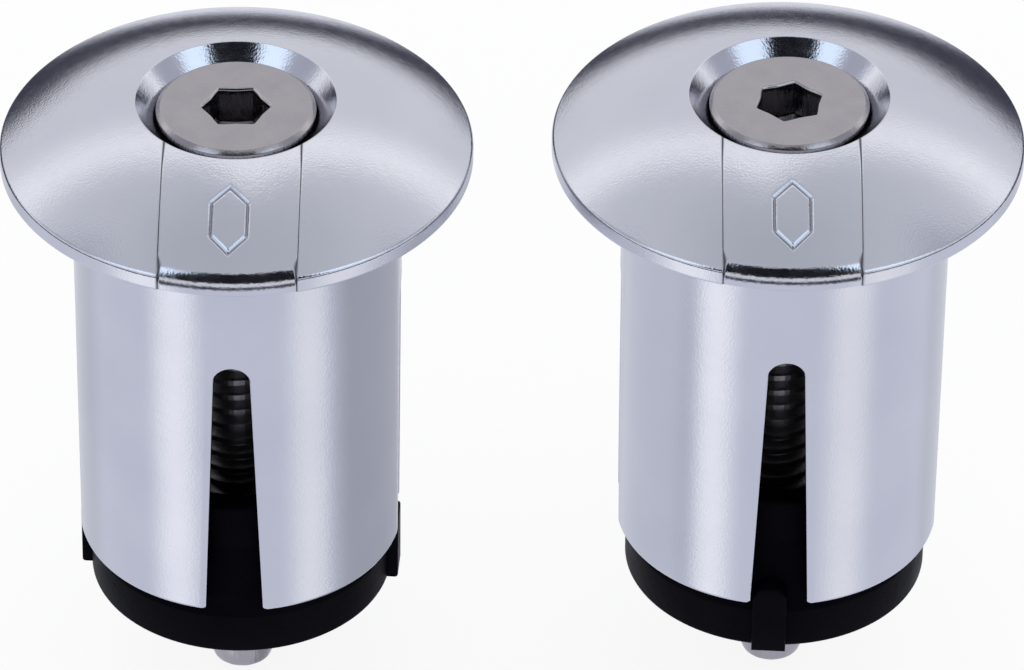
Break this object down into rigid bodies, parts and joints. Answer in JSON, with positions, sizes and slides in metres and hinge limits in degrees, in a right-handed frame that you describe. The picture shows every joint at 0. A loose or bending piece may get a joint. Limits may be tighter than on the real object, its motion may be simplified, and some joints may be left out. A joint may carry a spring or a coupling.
{
  "type": "pair of handlebar end plugs",
  "caption": "Pair of domed chrome plugs for handlebar ends, each with a slotted sleeve that a screw-drawn plastic wedge spreads inside the bar.",
  "frame": {"origin": "on the left plug's axis, at the underside of its flange, where the end face of the handlebar meets it", "axes": "+Z out of the bar through the domed caps, +X from the left plug to the right plug, -Y towards the side with the sunk panel and mark"},
  "size_m": [0.0589, 0.0272, 0.0404],
  "materials": {
    "satin_chrome": "satin electroplate over a die casting, fine orange-peel texture",
    "plated_steel": "satin nickel plate",
    "black_nylon": "moulded, slight gloss",
    "zinc_steel": "bright zinc plate"
  },
  "bodies": {
    "left_cap": {"left_cap": "satin_chrome"},
    "left_finger_1": {"left_finger_1": "satin_chrome"},
    "left_finger_2": {"left_finger_2": "satin_chrome"},
    "left_finger_3": {"left_finger_3": "satin_chrome"},
    "left_finger_4": {"left_finger_4": "satin_chrome"},
    "left_screw": {"left_screw": "plated_steel"},
    "left_wedge": {"left_wedge": "black_nylon", "left_nut": "zinc_steel"},
    "right_cap": {"right_cap": "satin_chrome"},
    "right_finger_1": {"right_finger_1": "satin_chrome"},
    "right_finger_2": {"right_finger_2": "satin_chrome"},
    "right_finger_3": {"right_finger_3": "satin_chrome"},
    "right_finger_4": {"right_finger_4": "satin_chrome"},
    "right_screw": {"right_screw": "plated_steel"},
    "right_wedge": {"right_wedge": "black_nylon", "right_nut": "zinc_steel"}
  },
  "joints": [
    {"name": "right_plug_lift", "type": "slide", "parent": "left_cap", "child": "right_cap", "axis": [0, 0, 1], "range_m": [0, 0.05]},
    {"name": "left_screw_turn", "type": "hinge", "parent": "left_cap", "child": "left_screw", "pos_m": [0, 0, 0], "axis": [0, 0, -1], "range_deg": [0, 730]},
    {"name": "left_wedge_slide", "type": "slide", "parent": "left_cap", "child": "left_wedge", "axis": [0, 0, 1], "range_m": [0, 0.00216]},
    {"name": "left_finger_1_flex", "type": "hinge", "parent": "left_cap", "child": "left_finger_1", "pos_m": [0.00641, -0.00702, -0.00925], "axis": [-0.7385, -0.6743, 0], "range_deg": [0, 3.5]},
    {"name": "left_finger_2_flex", "type": "hinge", "parent": "left_cap", "child": "left_finger_2", "pos_m": [0.00702, 0.00641, -0.00925], "axis": [0.6743, -0.7385, 0], "range_deg": [0, 3.5]},
    {"name": "left_finger_3_flex", "type": "hinge", "parent": "left_cap", "child": "left_finger_3", "pos_m": [-0.00641, 0.00702, -0.00925], "axis": [0.7385, 0.6743, 0], "range_deg": [0, 3.5]},
    {"name": "left_finger_4_flex", "type": "hinge", "parent": "left_cap", "child": "left_finger_4", "pos_m": [-0.00702, -0.00641, -0.00925], "axis": [-0.6743, 0.7385, 0], "range_deg": [0, 3.5]},
    {"name": "right_screw_turn", "type": "hinge", "parent": "right_cap", "child": "right_screw", "pos_m": [0.0317, 0, 0], "axis": [0, 0, -1], "range_deg": [0, 730]},
    {"name": "right_wedge_slide", "type": "slide", "parent": "right_cap", "child": "right_wedge", "axis": [0, 0, 1], "range_m": [0, 0.00216]},
    {"name": "right_finger_1_flex", "type": "hinge", "parent": "right_cap", "child": "right_finger_1", "pos_m": [0.03819, -0.00694, -0.00925], "axis": [-0.7302, -0.6833, 0], "range_deg": [0, 3.5]},
    {"name": "right_finger_2_flex", "type": "hinge", "parent": "right_cap", "child": "right_finger_2", "pos_m": [0.03864, 0.00649, -0.00925], "axis": [0.6833, -0.7302, 0], "range_deg": [0, 3.5]},
    {"name": "right_finger_3_flex", "type": "hinge", "parent": "right_cap", "child": "right_finger_3", "pos_m": [0.02521, 0.00694, -0.00925], "axis": [0.7302, 0.6833, 0], "range_deg": [0, 3.5]},
    {"name": "right_finger_4_flex", "type": "hinge", "parent": "right_cap", "child": "right_finger_4", "pos_m": [0.02476, -0.00649, -0.00925], "axis": [-0.6833, 0.7302, 0], "range_deg": [0, 3.5]}
  ],
  "couplings": [
    {"joint": "left_screw_turn", "follows": "left_wedge_slide", "rad_per_m": 5817.8},
    {"joint": "left_finger_1_flex", "follows": "left_wedge_slide", "rad_per_m": 27.473},
    {"joint": "left_finger_2_flex", "follows": "left_wedge_slide", "rad_per_m": 27.473},
    {"joint": "left_finger_3_flex", "follows": "left_wedge_slide", "rad_per_m": 27.473},
    {"joint": "left_finger_4_flex", "follows": "left_wedge_slide", "rad_per_m": 27.473},
    {"joint": "right_screw_turn", "follows": "right_wedge_slide", "rad_per_m": 5817.8},
    {"joint": "right_finger_1_flex", "follows": "right_wedge_slide", "rad_per_m": 27.473},
    {"joint": "right_finger_2_flex", "follows": "right_wedge_slide", "rad_per_m": 27.473},
    {"joint": "right_finger_3_flex", "follows": "right_wedge_slide", "rad_per_m": 27.473},
    {"joint": "right_finger_4_flex", "follows": "right_wedge_slide", "rad_per_m": 27.473}
  ]
}
